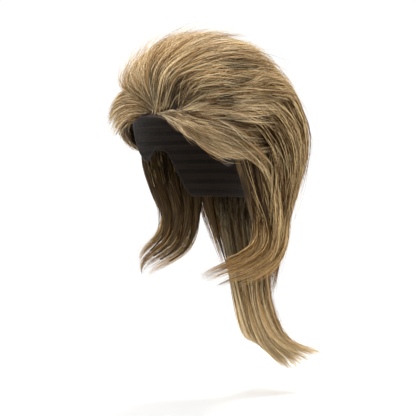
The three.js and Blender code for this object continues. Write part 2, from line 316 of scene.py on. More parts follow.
sideRear = [
    [0.94, 0.56, 0.42, 0.0, 0.08], [0.98, 0.68, 0.02, 0.2, 0.78], [0.94, 0.82, -0.32, 0.38, 1.02],
    [0.94, 0.86, -0.62, 0.42, 1.06], [0.98, 0.66, -0.86, 0.4, 0.84], [1.0, 0.02, -1.0, 0.36, 0.56],
]
backMiddle = [
    [0.0, 0.3, 1.0, 0.0, 0.5], [0.0, 0.8, 0.8, 0.1, 0.82], [0.0, 1.0, 0.34, 0.2, 1.04],
    [0.0, 1.0, -0.14, 0.3, 1.02], [0.0, 1.0, -0.5, 0.5, 1.1], [0.0, 1.0, -0.86, 0.64, 0.98],
    [0.0, 1.0, -1.12, 0.74, 0.86],
]
backEdge = [
    [0.62, 0.12, 1.0, 0.0, 0.45], [0.98, 0.5, 0.66, 0.1, 0.75], [1.0, 0.68, 0.26, 0.2, 0.96],
    [0.98, 0.76, -0.16, 0.3, 1.04], [0.84, 0.9, -0.5, 0.46, 1.1], [0.6, 1.0, -0.84, 0.56, 0.92],
    [0.42, 1.0, -1.04, 0.66, 0.8],
]
tailMiddle = [
    [0.0, 1.0, -0.12, 0.0, 0.04], [0.0, 1.0, -0.28, 0.06, 0.22], [0.0, 1.0, -0.46, 0.16, 0.35],
    [0.0, 1.0, -0.66, 0.26, 0.46], [0.0, 1.0, -0.84, 0.54, 0.76], [0.0, 1.0, -0.97, 1.03, 1.19],
]
tailEdge = [
    [0.6, 0.82, -0.12, 0.0, 0.04], [0.54, 0.95, -0.28, 0.05, 0.2], [0.4, 1.0, -0.46, 0.15, 0.32],
    [0.26, 1.0, -0.66, 0.24, 0.43], [0.24, 1.0, -0.82, 0.5, 0.72], [0.27, 1.0, -0.88, 1.04, 1.21],
]
print("guides read")

# Materials

def shadeBy(tree, colour, value):
    shade = addNode(tree, "ShaderNodeCombineColor")
    for channel in ("Red", "Green", "Blue"):
        tree.links.new(value, shade.inputs[channel])
    return mixColours(tree, 1.0, colour, shade.outputs["Color"], "MULTIPLY")


def addBump(tree, height, look):
    bump = addNode(tree, "ShaderNodeBump")
    bump.inputs["Strength"].default_value = look["bumpStrength"]
    bump.inputs["Distance"].default_value = look["bumpDepth"]
    tree.links.new(height, bump.inputs["Height"])
    tree.links.new(bump.outputs["Normal"], tree.nodes["Principled BSDF"].inputs["Normal"])


def colourOf(*channels):
    # a colour as a picture has it, 0 to 255, in the light's own scale
    shares = [channel / 255 for channel in channels]
    return (*[((s + 0.055) / 1.055) ** 2.4 if s > 0.04045 else s / 12.92 for s in shares], 1.0)


hairShade = {
    "rootFade": (0.0, 0.4),  # shares of the way along a strand
    "tipFade": (0.45, 1.0),
    "paleTones": (0.5, 1.0),
    "darkTones": (0.0, 0.5),
    "darkest": 0.3,
    "roughness": (0.52, 0.34),  # of a dark strand and of a pale one
    "streakDetail": 4.0,
    "streakNoise": (0.36, 0.64),
    "streakTones": (0.3, 0.95),
    "bumpStrength": 0.8,
    "bumpDepth": 0.0012,
}


def makeHairTint(look):
    # colour and roughness of a strand from its place along the hair and its own tone, with painted shade where
    # it lies deep
    group = bpy.data.node_groups.new("hairTint", "ShaderNodeTree")
    for name, kind in (("Along", "Float"), ("Tone", "Float"), ("PaintedLight", "Float"), ("Root", "Color"),
                       ("Body", "Color"), ("Tip", "Color"), ("Pale", "Color")):
        group.interface.new_socket(name, in_out="INPUT", socket_type="NodeSocket" + kind)
    group.interface.new_socket("Colour", in_out="OUTPUT", socket_type="NodeSocketColor")
    group.interface.new_socket("Roughness", in_out="OUTPUT", socket_type="NodeSocketFloat")
    entry = addNode(group, "NodeGroupInput")
    leave = addNode(group, "NodeGroupOutput")
    fromRoot = rangeOf(group, entry.outputs["Along"], *look["rootFade"])
    towardTip = rangeOf(group, entry.outputs["Along"], *look["tipFade"])
    paleness = rangeOf(group, entry.outputs["Tone"], *look["paleTones"])
    darkness = rangeOf(group, entry.outputs["Tone"], *look["darkTones"], look["darkest"], 1.0)
    colour = mixColours(group, fromRoot, entry.outputs["Root"], entry.outputs["Body"])
    colour = mixColours(group, towardTip, colour, entry.outputs["Tip"])
    colour = mixColours(group, paleness, colour, entry.outputs["Pale"])
    # the tone's own darkness, then the painted light and shade that the strand carries
    for value in (darkness, entry.outputs["PaintedLight"]):
        colour = shadeBy(group, colour, value)
    group.links.new(colour, leave.inputs["Colour"])
    roughness = rangeOf(group, entry.outputs["Tone"], 0.0, 1.0, *look["roughness"])
    group.links.new(roughness, leave.inputs["Roughness"])
    return group


hairTint = makeHairTint(hairShade)


def hairMaterial(name, tints, specular, streaked):
    paint = bpy.data.materials.new(name)
    paint.use_nodes = True
    tree = paint.node_tree
    shader = tree.nodes["Principled BSDF"]
    shader.inputs["Specular IOR Level"].default_value = specular
    tint = addNode(tree, "ShaderNodeGroup", node_tree=hairTint)
    for label, colour in tints.items():
        tint.inputs[label].default_value = colourOf(*colour)
    # the painted light and shade of each vertex comes in its open attribute
    for label, attribute in (("Along", "along"), ("PaintedLight", "open")):
        reader = addNode(tree, "ShaderNodeAttribute", attribute_name=attribute)
        tree.links.new(reader.outputs["Fac"], tint.inputs[label])
    tree.links.new(tint.outputs["Colour"], shader.inputs["Base Color"])
    tree.links.new(tint.outputs["Roughness"], shader.inputs["Roughness"])
    if not streaked:
        tone = addNode(tree, "ShaderNodeAttribute", attribute_name="tone")
        tree.links.new(tone.outputs["Fac"], tint.inputs["Tone"])
        return paint
    # streaks that run with the hair
    flow = addNode(tree, "ShaderNodeAttribute", attribute_name="flow")
    streaks = addNode(tree, "ShaderNodeTexNoise", noise_dimensions="3D")
    streaks.inputs["Scale"].default_value = 1.0
    streaks.inputs["Detail"].default_value = hairShade["streakDetail"]
    tree.links.new(flow.outputs["Vector"], streaks.inputs["Vector"])
    tone = rangeOf(tree, streaks.outputs["Fac"], *hairShade["streakNoise"], *hairShade["streakTones"])
    tree.links.new(tone, tint.inputs["Tone"])
    addBump(tree, streaks.outputs["Fac"], hairShade)
    return paint


def linkPiece(name, mesh, node):
    piece = newObject(name, mesh)
    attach(piece, "root")
    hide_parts(node)
    return piece


def meshFrom(bm, name, paint):
    bmesh.ops.recalc_face_normals(bm, faces=bm.faces)
    mesh = bpy.data.meshes.new(name)
    bm.to_mesh(mesh)
    bm.free()
    mesh.polygons.foreach_set("use_smooth", [True] * len(mesh.polygons))
    mesh.materials.append(paint)
    return mesh


# The cap that all the hair is sewn to

capForm = {
    "segments": 128,
    "rings": 30,
    "topShare": 0.985,  # how far towards the middle of the crown the last ring lies
    "hemRadius": 0.0013,
    "hemSides": 8,
    "specular": 0.2,
    "roughness": 0.85,
    "sheen": 0.25,
    "yarn": (58, 45, 35),
    "weftRow": (40, 30, 23),
    "rowSpacing": 0.0062,
    "rowWobble": 0.35,
    "rowDetail": 1.0,
    "rowEdges": (0.3, 0.95),
    "rowHeight": 1.6,  # against the height of the knit
    "knitScale": 620.0,
    "knitEdge": 0.35,
    "knitShade": 0.45,
    "weaveRadius": 0.09,
    "hemStretch": 4.0,
    "bumpStrength": 0.9,
    "bumpDepth": 0.0006,
    # the rim seen from the side, front to back: [y, z]
    "rim": [
        [-0.097, -0.060], [-0.060, -0.076], [-0.034, -0.122], [-0.017, -0.122], [-0.0165, -0.108],
        [0.014, -0.108], [0.034, -0.168], [0.2, -0.168],
    ],
    "rimSearch": (0.09, -0.075, 661),  # the highest and the lowest rise looked at, and how many
}


def headPlace(turn, rise, lift):
    # rise is in metres up the head's side from its widest level, and on over the crown
    angle = np.clip(rise / head["crownHeight"], 0.0, math.pi / 2)
    dome = np.where(rise > 0.0, np.tan(np.minimum(angle, math.pi / 2 - 1e-4)), rise)
    return offHead(np.cos(turn), np.sin(turn), dome, lift)


def rimRise(turn):
    # walks down each side of the head until it meets the rim
    rimY, rimZ = np.array(capForm["rim"]).T
    rises = np.linspace(*capForm["rimSearch"])
    turns, levels = np.meshgrid(turn, rises, indexing="ij")
    place = headPlace(turns, levels, np.zeros_like(turns))[0]
    reached = place[..., 2] <= np.interp(place[..., 1], rimY, rimZ)
    first = np.where(reached.any(1), reached.argmax(1), len(rises) - 1)
    rise = rises[first]
    blur = np.array([1, 2, 3, 2, 1]) / 9  # rounds the rim's corners
    return np.convolve(np.concatenate([rise[-2:], rise, rise[:2]]), blur, "valid")


def growRing(bm, edges):
    grown = bmesh.ops.extrude_edge_only(bm, edges=edges)["geom"]
    return [g for g in grown if isinstance(g, bmesh.types.BMEdge) and len(g.link_faces) == 1]


def makeCap(form):
    bm = bmesh.new()
    weaveLayer = bm.verts.layers.float_vector.new("weave")
    ring = bmesh.ops.create_circle(bm, segments=form["segments"], radius=1.0)["verts"]
    turn = np.array([math.atan2(v.co.y, v.co.x) for v in ring])
    order = np.argsort(turn)
    bottom = np.zeros(len(turn))
    bottom[order] = rimRise(turn[order])
    top = head["crownHeight"] * math.pi / 2 * form["topShare"]
    edges = list(bm.edges)
    levels = []
    for step in range(form["rings"] + 1):
        if step:
            edges = growRing(bm, edges)
            fresh = {}
            for edge in edges:
                for vertex in edge.verts:
                    fresh[round(math.atan2(vertex.co.y, vertex.co.x), 4)] = vertex
            ring = [fresh[round(angle, 4)] for angle in turn]
        rise = bottom + (top - bottom) * (step / form["rings"])
        for vertex, angle, height in zip(ring, turn, rise):
            x, y = math.cos(angle), math.sin(angle)
            vertex.co = (x, y, 0.0)
            vertex[weaveLayer] = (x * form["weaveRadius"], height, y * form["weaveRadius"])
        levels.append((ring, rise))
    bmesh.ops.contextual_create(bm, geom=edges)
    for ring, rise in levels:
        for vertex, spot in zip(ring, headPlace(turn, rise, np.zeros_like(turn))[0]):
            vertex.co = spot
    cap = linkPiece("knitCap", meshFrom(bm, "knitCap", capCloth(form)), "cap")
    wall = cap.modifiers.new("wall", "SOLIDIFY")
    wall.thickness = capWall
    wall.offset = 1.0
    wall.use_even_offset = True
    makeHem(form, turn[order], bottom[order])
    print("cap and hem made")


def makeHem(form, turn, bottom):
    # rolled round the rim, a ring of corners at each of the cap's segments
    spots, outward = headPlace(turn, bottom, np.full(len(turn), capWall / 2))
    ahead = np.roll(spots, -1, 0) - np.roll(spots, 1, 0)
    ahead /= np.linalg.norm(ahead, axis=1, keepdims=True)
    down = np.cross(ahead, outward)
    down /= np.linalg.norm(down, axis=1, keepdims=True)
    out = np.cross(down, ahead)
    length = np.concatenate([[0], np.cumsum(np.linalg.norm(np.diff(spots, axis=0), axis=1))])
    bm = bmesh.new()
    weaveLayer = bm.verts.layers.float_vector.new("weave")
    loops = []
    for index in range(len(spots)):
        ring = bmesh.ops.create_circle(bm, segments=form["hemSides"], radius=form["hemRadius"])["verts"]
        for vertex in ring:
            flat = vertex.co.copy()
            vertex.co = Vector(spots[index] + down[index] * flat.x + out[index] * flat.y)
            vertex[weaveLayer] = (length[index], flat.x * form["hemStretch"], 0.0)
        loops.append(list(dict.fromkeys(edge for vertex in ring for edge in vertex.link_edges)))
    for index in range(len(loops)):
        bmesh.ops.bridge_loops(bm, edges=loops[index] + loops[(index + 1) % len(loops)])
    linkPiece("capHem", meshFrom(bm, "capHem", capCloth(form)), "cap")


def capCloth(form):
    paint = bpy.data.materials.get("capCloth")
    if paint:
        return paint
    paint = bpy.data.materials.new("capCloth")
    paint.use_nodes = True
    tree = paint.node_tree
    shader = tree.nodes["Principled BSDF"]
    shader.inputs["Specular IOR Level"].default_value = form["specular"]
    shader.inputs["Roughness"].default_value = form["roughness"]
    shader.inputs["Sheen Weight"].default_value = form["sheen"]
    weave = addNode(tree, "ShaderNodeAttribute", attribute_name="weave")
    rows = addNode(tree, "ShaderNodeTexWave", wave_type="BANDS", bands_direction="Y", wave_profile="SIN")
    rows.inputs["Scale"].default_value = 1.0 / form["rowSpacing"] / 20 * math.pi
    rows.inputs["Distortion"].default_value = form["rowWobble"]
    rows.inputs["Detail"].default_value = form["rowDetail"]
    knit = addNode(tree, "ShaderNodeTexVoronoi", feature="DISTANCE_TO_EDGE")
    knit.inputs["Scale"].default_value = form["knitScale"]
    for node in (rows, knit):
        tree.links.new(weave.outputs["Vector"], node.inputs["Vector"])
    inRow = rangeOf(tree, rows.outputs["Fac"], *form["rowEdges"])
    colour = mixColours(tree, inRow, colourOf(*form["yarn"]), colourOf(*form["weftRow"]))
    holes = rangeOf(tree, knit.outputs["Distance"], 0.0, form["knitEdge"], 1.0, form["knitShade"])
    tree.links.new(shadeBy(tree, colour, holes), shader.inputs["Base Color"])
    height = addNode(tree, "ShaderNodeMath", operation="MULTIPLY_ADD")
    tree.links.new(inRow, height.inputs[0])
    height.inputs[1].default_value = form["rowHeight"]
    tree.links.new(holes, height.inputs[2])
    addBump(tree, height.outputs["Value"], form)
    return paint


makeCap(capForm)

# Making a piece of hair

underForm = {
    "sides": 12,
    "steps": 18,
    "reach": 0.9,
    "overlap": 1.35,
    "tipShare": 0.1,
    "tipStart": 0.5,
    "toBack": (0.3, 0.7),  # shares of the way along, over which the front values turn into the back ones
    "swell": (-0.1, 0.25),  # before and past the place that a lock fills out from
    "thinnest": 0.0003,
    # painted shade over every under-lock
    "paintedLight": 0.8,
    "streakScale": (900.0, 7.0, 9.1),  # across a lock, along it, and from one lock to the next
    "shine": 0.12,
}

# how far hair is pushed aside and sunk in a parting, and how much painted shade darkens it there
partingForm = {
    "push": 0.75,
    "sharpness": 3.0,
    "sink": 0.65,
    "shade": 0.82,
}


def addAttribute(mesh, name, values):
    attribute = mesh.attributes.new(name, "FLOAT", "POINT")
    attribute.data.foreach_set("value", np.ascontiguousarray(values, np.float32).ravel())


def unit(vectors):
    return vectors / (np.linalg.norm(vectors, axis=-1, keepdims=True) + 1e-12)


def gapAt(piece, across, along):
    # how far into one of the piece's partings a place is, 0 to 1, and how far its hair is pushed aside
    inside = np.zeros_like(along * across)
    push = np.zeros_like(inside)
    for middleAcross, middleAlong, halfAcross, halfAlong in piece.get("partings", []):
        aside = (across - middleAcross) / halfAcross
        ahead = (along - middleAlong) / halfAlong
        near = np.exp(-aside ** 2 - ahead ** 2)
        inside = np.maximum(inside, near)
        push += halfAcross * partingForm["push"] * np.tanh(aside * partingForm["sharpness"]) * near
    return inside, push


def makeUnderLocks(piece):
    # closed tapering locks that fill the inside of the piece, under its strands, darkened with painted shade for
    # the shade inside the hair
    under, form, count = piece["under"], underForm, piece["locks"]
    name = piece["name"] + "Under"
    bm = bmesh.new()
    flowLayer = bm.verts.layers.float_vector.new("flow")
    alongLayer = bm.verts.layers.float.new("along")
    paintedLightLayer = bm.verts.layers.float.new("open")
    steps = np.linspace(0.0, form["reach"], form["steps"] + 1)
    toBack = smoothStep(steps, *form["toBack"])
    deep, full = (front + (back - front) * toBack for front, back in (under["depth"], under["fullness"]))
    deep = deep * smoothStep(steps, *under["rise"])
    narrow = 1.0 + (form["tipShare"] - 1.0) * smoothStep(steps / form["reach"], form["tipStart"], 1.0)
    fromRoot = smoothStep(steps, under["from"] + form["swell"][0], under["from"] + form["swell"][1])
    streakAcross, streakAlong, streakStep = form["streakScale"]
    for index in range(count):
        across = (index + 0.5) / count
        middle, outward, thickness = hairAt(piece, np.full_like(steps, across), steps, deep)
        left = hairAt(piece, np.full_like(steps, across - 0.5 / count), steps, deep)[0]
        right = hairAt(piece, np.full_like(steps, across + 0.5 / count), steps, deep)[0]
        halfWidth = np.linalg.norm(right - left, axis=-1) / 2 * form["overlap"] * narrow
        halfThick = np.maximum(thickness / 2 * full * narrow * fromRoot, form["thinnest"])
        ahead = unit(np.gradient(middle, axis=0))
        aside = unit(np.cross(ahead, outward))
        out = np.cross(aside, ahead)
        ring = bmesh.ops.create_circle(bm, cap_ends=True, segments=form["sides"], radius=1.0)["verts"]
        circle = [v.co.copy() for v in ring]
        face = ring[0].link_faces[0]
        for step in range(form["steps"] + 1):
            if step:
                grown = bmesh.ops.extrude_face_region(bm, geom=[face])["geom"]
                fresh = [g for g in grown if isinstance(g, bmesh.types.BMFace)]
                if step > 1:
                    bmesh.ops.delete(bm, geom=[face], context="FACES_ONLY")
                face = fresh[0]
                ring = list(face.verts)
            place = Matrix.Identity(4)
            place.col[0][:3] = aside[step] * halfWidth[step]
            place.col[1][:3] = out[step] * halfThick[step]
            place.col[2][:3] = ahead[step]
            place.col[3][:3] = middle[step]
            for flat, vertex in zip(circle, ring):
                vertex.co = place @ flat
                vertex[alongLayer] = steps[step]
                vertex[paintedLightLayer] = form["paintedLight"]
                acrossLock = flat.x * halfWidth[step] * streakAcross
                vertex[flowLayer] = (acrossLock, steps[step] * streakAlong, index * streakStep)
    paint = hairMaterial(name, under["tints"], form["shine"], True)
    linkPiece(name, meshFrom(bm, name, paint), piece["node"])


def tubeMesh(name, points, outward, radius, tone, along, paintedLight):
    # every strand is a closed three-sided tube that ends in a point, and all of them are one mesh
    strands, steps, _ = points.shape
    ahead = unit(np.gradient(points, axis=1))
    aside = unit(np.cross(ahead, outward))
    out = np.cross(aside, ahead)
    corners = np.radians([90.0, 210.0, 330.0])
    across = np.cos(corners)[:, None] * aside[:, :-1, None, :]
    across = across + np.sin(corners)[:, None] * out[:, :-1, None, :]
    rings = points[:, :-1, None, :] + radius[:, :-1, None, None] * across
    vertices = np.concatenate([rings.reshape(strands, -1, 3), points[:, -1:, :]], 1)
    perStrand = vertices.shape[1]
    quads = []
    for step in range(steps - 2):
        for corner in range(3):
            a, b = step * 3 + corner, step * 3 + (corner + 1) % 3
            quads.append([a, b, b + 3, a + 3])
    last = (steps - 2) * 3
    ends = [[last + corner, last + (corner + 1) % 3, perStrand - 1] for corner in range(3)] + [[2, 1, 0]]
    offset = (np.arange(strands) * perStrand)[:, None]
    loops = np.concatenate([(np.array(faces).ravel() + offset).ravel() for faces in (quads, ends)])
    sizes = np.concatenate([np.full(strands * len(quads), 4), np.full(strands * len(ends), 3)])
    starts = np.concatenate([[0], np.cumsum(sizes)[:-1]])
    mesh = bpy.data.meshes.new(name)
    mesh.vertices.add(strands * perStrand)
    mesh.vertices.foreach_set("co", vertices.astype(np.float32).ravel())
    mesh.loops.add(len(loops))
    mesh.loops.foreach_set("vertex_index", loops.astype(np.int32))
    mesh.polygons.add(len(sizes))
    mesh.polygons.foreach_set("loop_start", starts.astype(np.int32))
    mesh.polygons.foreach_set("use_smooth", np.ones(len(sizes), bool))
    mesh.update(calc_edges=True)
    for label, values in (("along", along), ("open", paintedLight)):
        addAttribute(mesh, label, np.concatenate([np.repeat(values[:, :-1], 3, axis=1), values[:, -1:]], 1))
    addAttribute(mesh, "tone", np.repeat(tone[:, None], perStrand, axis=1))
    return mesh


def evenly(count, step):
    # numbers spread evenly from 0 to 1 in any run of them, without a pattern that shows
    return (0.5 + np.arange(count) * step) % 1.0


strandForm = {
    "acrossStep": 0.754877, "rootStep": 0.569840, "depthStep": 0.324718, "skinDepth": 0.05,
    "middleTone": 0.5, "tonePivot": 0.4, "looseTone": 0.1, "paleTone": 0.4,
    "wispShare": 0.6,  # of a tuft's wave and flip, in each of its wisps
    "waveLimit": 1.3, "turnSpread": 0.7, "slantShare": 0.7, "slantPivot": 0.3,
    "rootSpread": (-0.015, 0.04), "startSpread": 0.03,
    "raggedShare": 0.7, "looseBeyond": 0.05, "shortest": 0.22,
    "gatherFrom": 0.3, "closeAtRoot": 0.45, "closeBy": 0.3, "pinchFrom": 0.45, "flatness": 0.6,
    "settleSpan": (0.75, 1.1), "flatSpan": (0.8, 1.0),
    "rippleTurns": (2.6, 5.0), "looseWander": 2.2, "wispWander": 0.35,
    "looseThickness": 0.6, "rootThickness": 0.75, "rootSpan": 0.1, "taper": 2.6, "tipThickness": 0.15,
    "bareRoots": (0.02, 0.16),  # at the hairline the roots lie open too
    "openDepths": (0.05, 0.85), "openTips": (0.4, 0.7),
}


def makeStrands(piece):
    # tufts of wisps of strands: a tuft roots on the cap, comes up through the piece and ends at its own length
    look, form = piece["strands"], strandForm
    rng = np.random.default_rng(look["seed"])
    tufts, wisps, hairs, steps = look["tufts"], look["wisps"], look["hairs"], look["points"]
    tuftAcross = evenly(tufts, form["acrossStep"])
    tuftRoot = look["rootFrom"] + look["rootTo"] * evenly(tufts, form["rootStep"]) ** look["rootSkew"]
    tuftLength = rng.uniform(*look["length"], tufts)
    tuftDepth = look["depthTo"] - form["skinDepth"] - look["layering"] * evenly(tufts, form["depthStep"])
    tuftTone = rng.normal(form["middleTone"], look["tuftTone"], tufts)
    # painted light across the piece: tufts are darker by the first guide and lighter by the last, painted shade
    # on the front of the side locks and drapes and painted highlight behind
    tuftTone = tuftTone + look["paintedLightAcross"] * (tuftAcross - form["tonePivot"])
    tuftWave = rng.normal(0.0, look["wave"], tufts)
    tuftTurn = rng.uniform(0.0, 2.0 * np.pi, tufts)
    tuftFlip = rng.uniform(0.0, 1.0, tufts) ** 2 * look["flip"]

    # one row for each wisp of a tuft
    tuft = np.repeat(np.arange(tufts), wisps)
    count = len(tuft)
    angle = rng.uniform(0.0, 2.0 * np.pi, count)
    spread = np.sqrt(rng.uniform(0.0, 1.0, count))
    wispAside = np.cos(angle) * spread * look["tuftWidth"]
    wispUp = np.sin(angle) * spread * look["tuftDepth"]
    wispEnd = tuftRoot[tuft] + tuftLength[tuft] - look["ragged"] * rng.uniform(0.0, 1.0, count) ** 1.5
    wispTone = tuftTone[tuft] + rng.normal(0.0, look["wispTone"], count)
    wispWave = tuftWave[tuft] + rng.normal(0.0, look["wave"] * form["wispShare"], count)
    waveLimit = form["waveLimit"] * look["wave"]
    wispWave = np.clip(wispWave, -waveLimit, waveLimit)
    wispTurn = tuftTurn[tuft] + rng.normal(0.0, form["turnSpread"], count)
    wispLift = tuftFlip[tuft] + rng.uniform(0.0, 1.0, count) ** 3 * look["flip"] * form["wispShare"]
    wispRoot = tuftRoot[tuft] + rng.uniform(*form["rootSpread"], count)
    wispSlant = rng.normal(0.0, look["slant"], tufts)[tuft]
    wispSlant = wispSlant + rng.normal(0.0, look["slant"] * form["slantShare"], count)

    # one row for each strand of a wisp
    wisp = np.repeat(np.arange(count), hairs)
    total = len(wisp)
    loose = rng.uniform(0.0, 1.0, total) < look["loose"]
    start = wispRoot[wisp] + rng.uniform(0.0, form["startSpread"], total)
    end = wispEnd[wisp] - look["ragged"] * form["raggedShare"] * rng.uniform(0.0, 1.0, total) ** 2
    end = np.where(loose, end + rng.uniform(0.0, form["looseBeyond"], total), end)
    end = np.clip(end, start + form["shortest"], look["endAt"])
    walk = np.linspace(0.0, 1.0, steps)[None, :] ** look["bunch"]
    along = start[:, None] + (end - start)[:, None] * walk
    gather = 1.0 + (look["gather"] - 1.0) * smoothStep(walk, form["gatherFrom"], 1.0)
    across = tuftAcross[tuft][wisp][:, None] + wispAside[wisp][:, None] * gather
    across = across + wispSlant[wisp][:, None] * (walk - form["slantPivot"])
    across = across + np.where(loose, rng.normal(0.0, look["drift"], total), 0.0)[:, None] * walk ** 1.5
    inside, push = gapAt(piece, across, along)
    across = across + push
    climb = 1.0 - (1.0 - walk) ** look["climb"]
    depth = (tuftDepth[tuft][wisp][:, None] + wispUp[wisp][:, None] * gather) * climb
    depth = depth * (1.0 - partingForm["sink"] * inside)
    depth = depth * (1.0 - look["settle"] * smoothStep(along, *form["settleSpan"]))
    depth = np.clip(depth, 0.0, look["depthTo"])
    points, outward, _ = hairAt(piece, across, along, depth)
    aside = unit(np.cross(unit(np.gradient(points, axis=1)), outward))

    # inside its wisp, a strand keeps to its own place, and the wisp closes towards its tip
    angle = rng.uniform(0.0, 2.0 * np.pi, total)
    offMiddle = np.sqrt(rng.uniform(0.0, 1.0, total)) * look["wispWidth"]
    close = form["closeAtRoot"] + (1.0 - form["closeAtRoot"]) * smoothStep(walk, 0.0, form["closeBy"])
    close = close * (1.0 - look["pinch"] * smoothStep(walk, form["pinchFrom"], 1.0))
    sideways = (np.cos(angle) * offMiddle)[:, None] * close
    lift = (np.sin(angle) * offMiddle)[:, None] * close * form["flatness"] * climb
    turn = wispTurn[wisp][:, None]
    swing = wispWave[wisp][:, None] * (np.sin(turn + walk * look["turns"]) - np.sin(turn)) * walk ** 0.7
    flat = smoothStep(along, *form["flatSpan"]) * (look["settle"] > 0.0)
    lift = lift + wispLift[wisp][:, None] * walk ** 3 * (1.0 - flat)
    fly = np.where(loose, rng.uniform(0.0, 1.0, total) ** 2 * look["flyLift"], 0.0)
    lift = lift + fly[:, None] * walk ** 2
    points = points + aside * (sideways + swing)[..., None] + outward * lift[..., None]
    wander = np.where(loose, look["wander"] * form["looseWander"], look["wander"] * form["wispWander"])
    for turns in form["rippleTurns"]:
        sway = rng.normal(0.0, 1.0, (total, 1, 3)) * wander[:, None, None]
        turn = rng.uniform(0.0, 2.0 * np.pi, (total, 1, 1))
        points = points + sway * np.sin(turn + walk[..., None] * turns) * walk[..., None]

    thick = rng.uniform(*look["radius"], total) * np.where(loose, form["looseThickness"], 1.0)
    taper = np.minimum(1.0, (1.0 - walk) * form["taper"]) ** 0.7
    fromRoot = smoothStep(walk, 0.0, form["rootSpan"])
    taper = taper * (form["rootThickness"] + (1.0 - form["rootThickness"]) * fromRoot)
    radius = thick[:, None] * np.maximum(taper, form["tipThickness"])
    tone = wispTone[wisp] + rng.normal(0.0, look["hairTone"], total) + np.where(loose, form["looseTone"], 0.0)
    pale = rng.uniform(0.0, 1.0, total) < look["paleShare"]
    tone = np.clip(tone + np.where(pale, form["paleTone"], 0.0), 0.0, 1.0)
    # painted shade: strands darken the deeper they lie and inside partings, but not at open tips and hairline
    # roots
    tips = look["tipsOpen"] * smoothStep(along, *form["openTips"])
    roots = look["rootsOpen"] * (1.0 - smoothStep(along, *form["bareRoots"]))
    outer = np.maximum(np.maximum(smoothStep(depth, *form["openDepths"]), tips), roots)
    paintedLight = look["deepShade"] + (1.0 - look["deepShade"]) * outer
    paintedLight = paintedLight * (1.0 - partingForm["shade"] * inside)
    mesh = tubeMesh(piece["name"], points, outward, radius, tone, along, paintedLight)
    mesh.materials.append(hairMaterial(piece["name"], piece["tints"], look["shine"], False))
    linkPiece(piece["name"], mesh, piece["node"])
    low, high = np.round(points.min((0, 1)), 3), np.round(points.max((0, 1)), 3)
    print(piece["name"], total, "strands,", total * ((steps - 2) * 6 + 4), "triangles, from", low, "to", high)


# the tints are lit and shaded copies of one hair colour: painted light in the lighter crown, quiff and fringe
# tints, painted shade in the darker back, side, drape and under-lock tints and in the tail's dark Root, with a
# painted highlight in the side's light Tip. The darker Root is partly painted shade under the layers above, and
# the Pale strands are partly the hair's own lighter strands and partly painted highlights
paintedLitTints = {"Root": (116, 85, 48), "Body": (178, 139, 86), "Tip": (210, 175, 119), "Pale": (250, 230, 188)}
crownTints = {"Root": (116, 85, 48), "Body": (176, 137, 84), "Tip": (182, 142, 86), "Pale": (247, 222, 174)}
quiffTints = {"Root": (126, 93, 54), "Body": (198, 159, 103), "Tip": (222, 190, 136), "Pale": (252, 234, 196)}
midTints = {"Root": (106, 77, 43), "Body": (164, 125, 76), "Tip": (206, 170, 115), "Pale": (248, 225, 180)}
paintedShadeBackTints = {"Root": (80, 53, 25), "Body": (122, 81, 36), "Tip": (156, 114, 60), "Pale": (215, 176, 119)}
paintedShadeSideTints = {"Root": (44, 28, 12), "Body": (78, 49, 21), "Tip": (170, 124, 66), "Pale": (242, 209, 152)}
paintedShadeDrapeTints = {"Root": (108, 76, 39), "Body": (98, 64, 27), "Tip": (132, 93, 46), "Pale": (247, 217, 162)}
tailTints = {"Root": (62, 41, 18), "Body": (167, 119, 55), "Tip": (226, 195, 143), "Pale": (250, 228, 181)}
paintedShadeUnderTints = {"Root": (34, 23, 12), "Body": (54, 39, 21), "Tip": (80, 60, 34), "Pale": (112, 86, 52)}
paintedShadeBackUnderTints = {"Root": (88, 66, 40), "Body": (86, 64, 38), "Tip": (98, 75, 45), "Pale": (106, 83, 52)}
paintedShadeSideUnderTints = {"Root": (40, 28, 15), "Body": (58, 42, 24), "Tip": (92, 70, 41), "Pale": (102, 80, 49)}
# depth and fullness of the under-locks go from a front value to a back one along the hair
crownUnder = {
    "depth": (0.3, 0.4), "fullness": (0.45, 0.5), "from": 0.1, "rise": (0.0, 0.3), "tints": paintedShadeUnderTints,
}
wingUnder = {**crownUnder, "depth": (0.32, 0.42), "fullness": (0.45, 0.55)}
sideUnder = {**crownUnder, "depth": (0.42, 0.45), "fullness": (0.6, 0.7), "tints": paintedShadeSideUnderTints}
backUnder = {
    "depth": (0.42, 0.45), "fullness": (0.7, 0.55), "from": -0.08, "rise": (-0.15, 0.1),
    "tints": paintedShadeBackUnderTints,
}
# roots, lengths, widths and depths are shares of the piece; wave, flip, lift, wander and radius are metres
commonLook = {
    "wisps": 12, "hairs": 4, "points": 8, "bunch": 1.0, "paintedLightAcross": 0.0, "depthTo": 1.05, "layering": 0.45,
    "tuftTone": 0.1, "wispTone": 0.25, "hairTone": 0.24, "paleShare": 0.12, "deepShade": 0.32, "slant": 0.05,
    "settle": 0.0, "rootFrom": 0.0, "rootsOpen": 1.0, "tipsOpen": 0.0, "climb": 3.2, "gather": 0.35,
    "wander": 0.0016, "turns": 4.2, "loose": 0.12, "wispWidth": 0.0009, "pinch": 0.8, "shine": 0.32,
    "radius": (0.0002, 0.00034),
}

crownHair = {
    "name": "crownHair", "node": "crown_hair", "slot": "hair_crown",
    "guides": [crownFar, crownHalf, crownMiddle, mirrored(crownHalf), mirrored(crownFar)],
    "locks": 7, "volume": 0.037, "fall": 0.095,
    "tints": crownTints, "under": crownUnder,
    "partings": [[0.06, 0.24, 0.018, 0.08], [0.15, 0.53, 0.026, 0.07], [0.04, 0.36, 0.02, 0.07]],
    "strands": {
        **commonLook, "seed": 11, "tufts": 84, "rootFrom": -0.03, "rootTo": 0.75, "rootSkew": 1.9,
        "length": (0.42, 0.7), "endAt": 1.24, "tuftWidth": 0.05, "tuftDepth": 0.13, "ragged": 0.18,
        "wave": 0.0045, "drift": 0.06, "flip": 0.006, "flyLift": 0.01, "settle": 0.5, "slant": 0.06,
        "wispTone": 0.3,
    },
}
